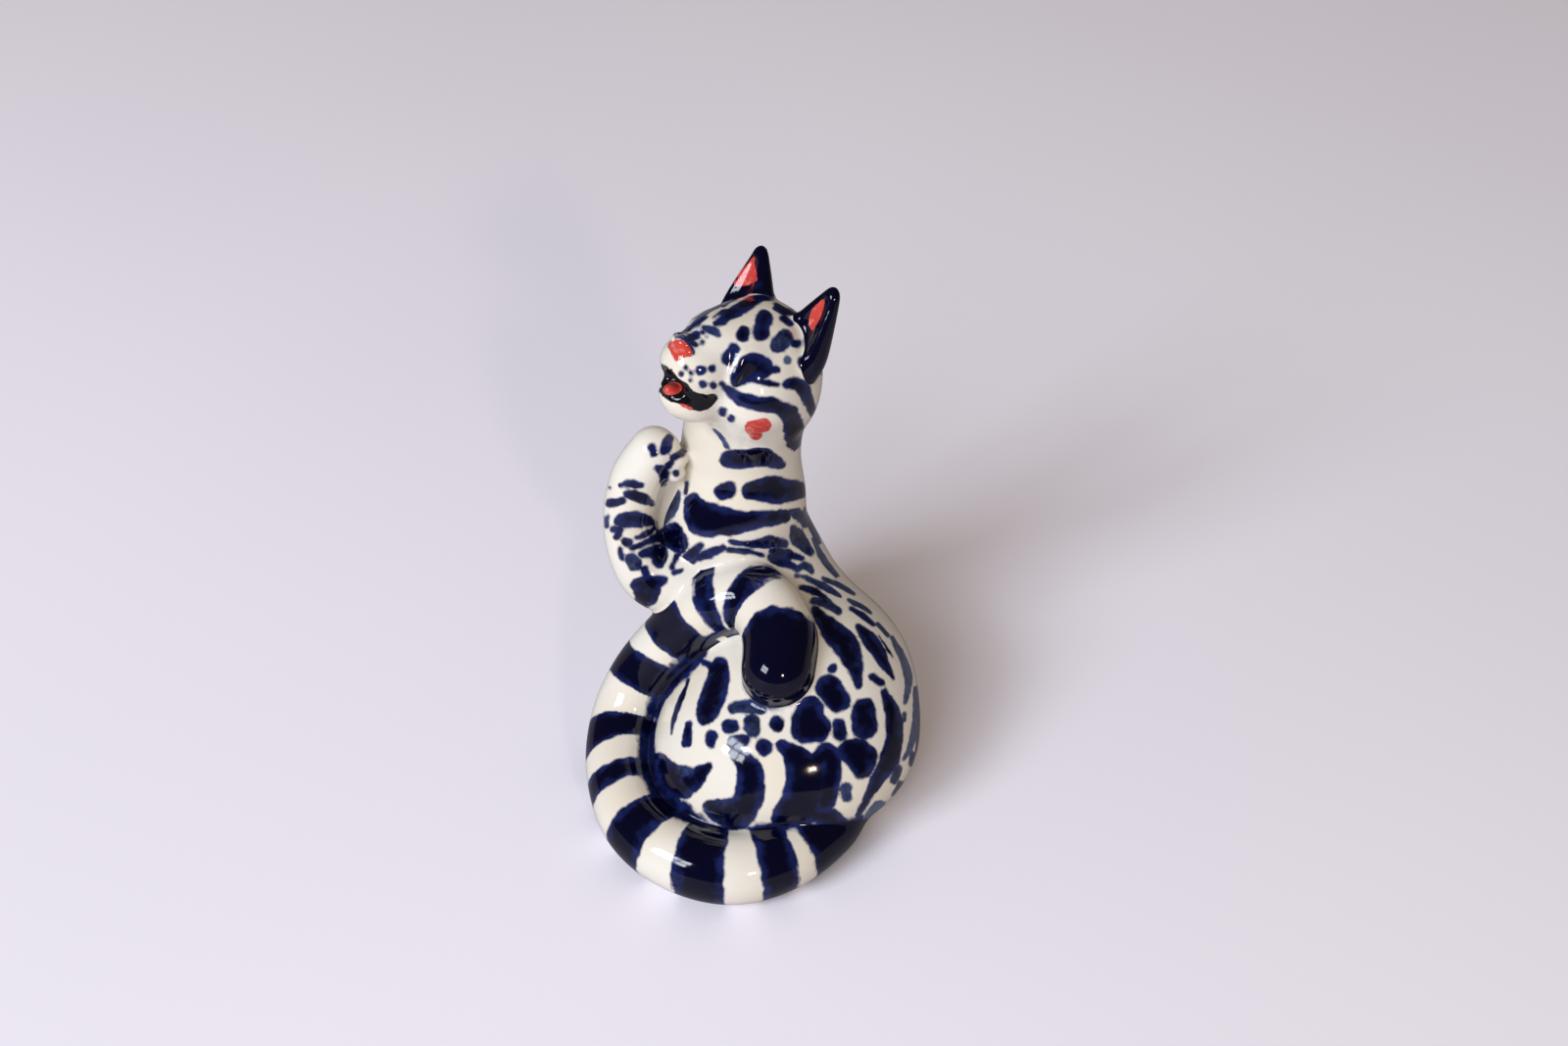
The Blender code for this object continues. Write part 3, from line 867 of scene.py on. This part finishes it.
def leaf_shape(name, point, normal, rng):
    """A filler mark's half length, half width and direction at a point of the hidden side, or None."""
    z = point[2]
    level = np.cross((0.0, 0.0, 1.0), normal)
    if np.linalg.norm(level) < 0.2:
        return None
    level /= np.linalg.norm(level)
    rising = np.cross(normal, level)
    facing = -normal[0]
    if name == "head":
        return (rng.uniform(1.2, 2.2), rng.uniform(0.8, 1.2), rising) if facing < 0.1 else None
    if name.endswith("leg"):
        if z < TOE_TOP or facing > 0.75:
            return None
        return rng.uniform(1.6, 3.0), rng.uniform(0.6, 1.0), level
    if facing > 0.45 and z > FOOT_TOP:
        return None
    if z > NECK_BASE:
        return rng.uniform(2.8, 4.4), rng.uniform(1.0, 1.5), level
    if z > RUMP_TOP:
        lean = rng.uniform(-0.35, 0.35)
        return rng.uniform(2.6, 4.6), rng.uniform(0.8, 1.4), rising + lean * level
    return rng.uniform(1.0, 2.4), rng.uniform(0.8, 1.6), rising + rng.uniform(-0.6, 0.6) * level


def fill_hidden(name, points, normals, on_skin, reach, cobalt, tone, tries):
    """Scatters leaves and spots over the side of a piece that the painter's eye can't see."""
    rng = np.random.default_rng(len(name))
    skin = np.flatnonzero(on_skin)
    hidden = skin[(reach[skin] > FILL_START) & (points[skin, 2] > FILL_START)]
    if not hidden.size:
        return
    for seed in rng.choice(hidden, tries):
        shape = leaf_shape(name, points[seed], normals[seed], rng)
        if shape is None:
            continue
        half, width, way = shape
        way = way / np.linalg.norm(way)
        if cobalt[seed] < width:
            continue
        rows = skin[np.abs(points[skin] - points[seed]).max(axis=1) < half + LEAF_GAP + 0.5]
        gap = points[rows] - points[seed]
        share = np.clip(gap @ way / half, -1, 1)
        gap -= share[:, None] * half * way
        leaf = np.linalg.norm(gap, axis=1) - width * (1 - share**2)
        close = leaf < LEAF_GAP
        if (cobalt[rows[close]] < 0.1).any() or (reach[rows[close & (leaf < 0.3)]] < 0.3).any():
            continue
        better = leaf < cobalt[rows]
        cobalt[rows[better]] = leaf[better]
        tone[rows[better]] = rng.choice(LEAF_TONES)


FILL_TRIES = {"body_shell": 2600, "head": 300, "left_foreleg": 120, "right_foreleg": 260,
              "left_hind_leg": 120, "right_hind_leg": 120}


def set_values(mesh, name, values):
    """Stores one number for each vertex, which the glaze reads."""
    mesh.attributes.new(name, "FLOAT", "POINT").data.foreach_set("value", values.astype(np.float32))


def paint_piece(mesh, name, points, on_skin, normals):
    """Stores each vertex's distance from the cobalt, the coral and the ink, and the cobalt's tone."""
    seen = on_skin & ((normals * (points - EYE)).sum(1) < 0)
    seen[seen] = seen_from_eye(points[seen])
    cobalt, tone = painted(EASEL_MARKS.get(name, []), points, normals, seen)
    coral = painted(CORAL_MARKS if name == "head" else [], points, normals, seen)[0]
    ink = painted(INK_MARKS if name == "head" else [], points, normals, seen)[0]
    if name in FILL_TRIES:
        reach = carry_round(name, points, on_skin, seen, [cobalt, coral, ink, tone])
        fill_hidden(name, points, normals, on_skin, reach, cobalt, tone, FILL_TRIES[name])
    if name.endswith("ear"):
        cobalt[:] = COVERED
        coral = painted(EAR_CORAL_MARKS, points, normals, seen)[0]
    if name == "head":
        ink = np.minimum(ink, MOUTH.distance(points) - INK_RIM)
    if name == "tail":
        cobalt = np.minimum(cobalt, tail_paint(points))
    # Painted shade: dark cobalt along the crease between the tail and the rump, partly pooled glaze and
    # partly the crease's shade.
    if name in ("tail", "body_shell"):
        cobalt = np.minimum(cobalt, crease_cobalt_and_shade(points))
    if name == "tongue":
        coral[:] = COVERED
    for attribute, values in (("cobalt", cobalt), ("tone", tone), ("coral", coral), ("ink", ink)):
        set_values(mesh, attribute, np.clip(values, -UNPAINTED, UNPAINTED))


# ---- Materials ----

CREAM = (0.70, 0.675, 0.60, 1.0)
BUTTER = (0.68, 0.63, 0.52, 1.0)
NAVY = (0.0008, 0.001, 0.011, 1.0)
BLUE = (0.009, 0.017, 0.095, 1.0)
# Pale blue of thin cobalt, also used as painted sheen on navy marks at the seen edges.
PALE_BLUE_AND_SHEEN = (0.075, 0.11, 0.21, 1.0)
BLACK = (0.004, 0.004, 0.006, 1.0)
CORAL = (0.50, 0.05, 0.04, 1.0)
LIGHT_CORAL = (0.62, 0.16, 0.11, 1.0)
PAPER = (0.84, 0.825, 0.90, 1.0)
BRIGHT_PAPER = (0.88, 0.86, 0.93, 1.0)
UNLIT = (0.0, 0.0, 0.0, 1.0)


class Nodes:
    """A material's node tree, with short ways to add what it needs."""

    def __init__(self, name):
        self.material = bpy.data.materials.new(name)
        self.material.use_nodes = True
        self.tree = self.material.node_tree
        self.shader = self.tree.nodes["Principled BSDF"]
        self.place = self.tree.nodes.new("ShaderNodeTexCoord").outputs["Object"]

    def link(self, value, socket):
        if hasattr(value, "links"):
            self.tree.links.new(value, socket)
        else:
            socket.default_value = value

    def math(self, operation, a, b=0.0):
        node = self.tree.nodes.new("ShaderNodeMath")
        node.operation = operation
        self.link(a, node.inputs[0])
        self.link(b, node.inputs[1])
        return node.outputs[0]

    def noise(self, size_mm, detail=2.0, roughness=0.5):
        node = self.tree.nodes.new("ShaderNodeTexNoise")
        node.inputs["Scale"].default_value = 1 / (size_mm * MM)
        node.inputs["Detail"].default_value = detail
        node.inputs["Roughness"].default_value = roughness
        self.link(self.place, node.inputs["Vector"])
        return node.outputs["Fac"]

    def ramp(self, value, low, high, to_low=0.0, to_high=1.0, smooth=True):
        node = self.tree.nodes.new("ShaderNodeMapRange")
        node.interpolation_type = "SMOOTHSTEP" if smooth else "LINEAR"
        self.link(value, node.inputs["Value"])
        for socket, number in zip(("From Min", "From Max", "To Min", "To Max"), (low, high, to_low, to_high)):
            node.inputs[socket].default_value = number
        return node.outputs["Result"]

    def mix(self, share, a, b):
        node = self.tree.nodes.new("ShaderNodeMix")
        node.data_type = "RGBA"
        self.link(share, node.inputs["Factor"])
        self.link(a, node.inputs["A"])
        self.link(b, node.inputs["B"])
        return node.outputs["Result"]

    def attribute(self, name):
        node = self.tree.nodes.new("ShaderNodeAttribute")
        node.attribute_name = name
        return node.outputs["Fac"]


def glaze(name):
    """Brush-painted porcelain under a clear glossy glaze."""
    m = Nodes(name)
    ragged = m.math("MULTIPLY", m.math("SUBTRACT", m.noise(0.9, 3.0), 0.5), 0.5)
    loose = m.math("MULTIPLY", m.math("SUBTRACT", m.noise(2.6, 1.0), 0.5), 0.9)
    cobalt = m.math("ADD", m.math("ADD", m.attribute("cobalt"), ragged), loose)
    coral = m.math("ADD", m.attribute("coral"), ragged)
    ink = m.math("ADD", m.attribute("ink"), ragged)
    clay = m.mix(m.ramp(m.noise(14.0, 1.0), 0.35, 0.7), CREAM, BUTTER)
    depth = m.math("ADD", cobalt, m.math("MULTIPLY", m.math("SUBTRACT", m.noise(2.2, 3.0), 0.5), 3.6))
    pigment = m.mix(m.ramp(depth, -1.5, 0.4), NAVY, BLUE)
    # Pale blue for marks of high tone: thinner paint, and painted sheen where the glaze catches the light on
    # marks along the seen edges.
    pale_wash_and_sheen = m.ramp(m.math("ADD", m.attribute("tone"), m.math("SUBTRACT", m.noise(1.2, 3.0), 0.5)), 0.2, 1.4)
    pigment = m.mix(pale_wash_and_sheen, pigment, PALE_BLUE_AND_SHEEN)
    colour = m.mix(m.ramp(cobalt, 0.26, -0.22), clay, pigment)
    red = m.mix(m.ramp(m.noise(0.8, 3.0), 0.5, 0.75), CORAL, LIGHT_CORAL)
    colour = m.mix(m.ramp(ink, 0.14, -0.14), colour, BLACK)
    colour = m.mix(m.ramp(coral, 0.14, -0.14), colour, red)
    m.link(colour, m.shader.inputs["Base Color"])
    m.link(m.ramp(m.noise(3.0, 2.0), 0.3, 0.7, 0.05, 0.10), m.shader.inputs["Roughness"])
    bump = m.tree.nodes.new("ShaderNodeBump")
    bump.inputs["Strength"].default_value = 0.25
    bump.inputs["Distance"].default_value = 0.1 * MM
    m.link(m.noise(2.6, 2.0), bump.inputs["Height"])
    m.link(bump.outputs["Normal"], m.shader.inputs["Normal"])
    m.shader.inputs["IOR"].default_value = 1.5
    m.shader.inputs["Subsurface Weight"].default_value = 0.08
    m.shader.inputs["Subsurface Radius"].default_value = (1.0, 0.8, 0.6)
    m.shader.inputs["Subsurface Scale"].default_value = 0.6 * MM
    return m.material


def floor_material():
    """Pale paper, which the glaze reflects more darkly than the eye sees it."""
    m = Nodes("floor_paper")
    paper = m.mix(m.ramp(m.noise(300.0, 2.0), 0.3, 0.7), PAPER, BRIGHT_PAPER)
    ray = m.tree.nodes.new("ShaderNodeLightPath")
    reflected = m.math("MULTIPLY", ray.outputs["Is Glossy Ray"], 0.65)
    m.link(m.mix(reflected, paper, UNLIT), m.shader.inputs["Base Color"])
    m.shader.inputs["Roughness"].default_value = 0.6
    m.shader.inputs["Specular IOR Level"].default_value = 0.3
    return m.material


# ---- The cat, its floor, lights and camera ----

FLOOR_HALF = 2.5
SLOTS = {
    "left_ear": "cobalt_glaze",
    "right_ear": "cobalt_glaze",
    "tail": "banded_glaze",
    "tongue": "coral_glaze",
}


def build_cat():
    """Makes, paints and hands over each piece. Pieces with the same slot share a material."""
    materials = {}
    for name in pieces:
        points, quads, on_skin, normals = split_piece(name)
        mesh = piece_mesh("glazed_" + name, points, quads, on_skin, normals)
        paint_piece(mesh, name, points, on_skin, normals)
        slot = SLOTS.get(name, "painted_glaze")
        if slot not in materials:
            materials[slot] = glaze(slot)
        mesh.materials.append(materials[slot])
        obj = bpy.data.objects.new("glazed_" + name, mesh)
        bpy.context.scene.collection.objects.link(obj)
        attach(obj, "root")
        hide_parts(name)


def build_floor():
    """A sheet of paper wide enough to fill the view."""
    mesh = bpy.data.meshes.new("floor")
    half = FLOOR_HALF
    corners = [(-half, -half, 0), (half, -half, 0), (half, half, 0), (-half, half, 0)]
    mesh.from_pydata(corners, [], [(0, 1, 2, 3)])
    mesh.materials.append(floor_material())
    floor = bpy.data.objects.new("floor", mesh)
    bpy.context.scene.collection.objects.link(floor)


ROOM_LIGHT = 0.31
ROOM_GLOSS = 0.05
ROOM_SEEN = 0.27
ROOM_COLOUR = (1.0, 0.84, 0.72, 1.0)
DAYLIGHT = (0.84, 0.89, 1.0)
LAMPLIGHT = (1.0, 0.80, 0.60)
PANE_SIZE = (0.13, 0.18)
PANE_PITCH = (0.16, 0.215)
CAT_MIDDLE = Vector((0, 0, 0.035))
LENS_MM = 38.25
SENSOR_MM = 36.0
CLIP_START = 0.01


def add_light(name, direction, distance, size, power, colour):
    """An area light in metres and watts that faces the cat's middle."""
    pale_wash_and_sheen = bpy.data.lights.new(name, "AREA")
    pale_wash_and_sheen.shape = "RECTANGLE"
    pale_wash_and_sheen.size, pale_wash_and_sheen.size_y = size
    pale_wash_and_sheen.energy = power
    pale_wash_and_sheen.color = colour
    obj = bpy.data.objects.new(name, pale_wash_and_sheen)
    way = Vector(direction).normalized()
    obj.location = CAT_MIDDLE + way * distance
    obj.rotation_euler = way.to_track_quat("Z", "Y").to_euler()
    bpy.context.scene.collection.objects.link(obj)
    return obj


def add_window(direction, distance, power):
    """Six panes that light the cat as a window would, so that its reflection shows the bars."""
    way = Vector(direction).normalized()
    across = way.cross(Vector((0, 0, 1))).normalized()
    upward = across.cross(way)
    columns, rows = (-1, 0, 1), (-0.5, 0.5)
    share = power / (len(columns) * len(rows))
    for column in columns:
        for row in rows:
            pane = way * distance + across * (PANE_PITCH[0] * column) + upward * (PANE_PITCH[1] * row)
            name = f"pane_{column + 1}_{int(row + 0.5)}"
            add_light(name, pane, pane.length, PANE_SIZE, share, DAYLIGHT)


def build_lights():
    """A window, the sky round it, a small lamp, and a room that reflections and the camera see dimmer."""
    add_window((-0.65, -0.53, 0.54), distance=1.3, power=7.0)
    sky_way, lamp_way = (-0.46, -0.65, 0.60), (0.30, -0.86, 0.42)
    sky = add_light("sky", sky_way, distance=1.3, size=(0.95, 0.60), power=12.5, colour=DAYLIGHT)
    sky.visible_glossy = False
    add_light("lamp", lamp_way, distance=1.0, size=(0.08, 0.08), power=1.4, colour=LAMPLIGHT)
    world = bpy.data.worlds.new("room")
    world.use_nodes = True
    nodes, links = world.node_tree.nodes, world.node_tree.links
    background = nodes["Background"]
    background.inputs["Color"].default_value = ROOM_COLOUR
    ray = nodes.new("ShaderNodeLightPath")
    dimmed = nodes.new("ShaderNodeMapRange")
    dimmed.inputs["To Min"].default_value = ROOM_LIGHT
    dimmed.inputs["To Max"].default_value = ROOM_GLOSS
    links.new(ray.outputs["Is Glossy Ray"], dimmed.inputs["Value"])
    shown = nodes.new("ShaderNodeMapRange")
    shown.inputs["To Max"].default_value = ROOM_SEEN
    links.new(ray.outputs["Is Camera Ray"], shown.inputs["Value"])
    links.new(dimmed.outputs["Result"], shown.inputs["To Min"])
    links.new(shown.outputs["Result"], background.inputs["Strength"])
    bpy.context.scene.world = world
    bpy.context.scene.view_settings.view_transform = "Standard"


def build_camera():
    """The camera stands at the painter's eye."""
    data = bpy.data.cameras.new("camera")
    data.lens = LENS_MM
    data.sensor_width = SENSOR_MM
    data.clip_start = CLIP_START
    camera = bpy.data.objects.new("camera", data)
    camera.location = Vector(EYE * MM)
    camera.rotation_euler = (math.radians(90.0) - LOOK_DOWN, 0.0, 0.0)
    bpy.context.scene.collection.objects.link(camera)
    bpy.context.scene.camera = camera


build_cat()
build_floor()
build_lights()
build_camera()
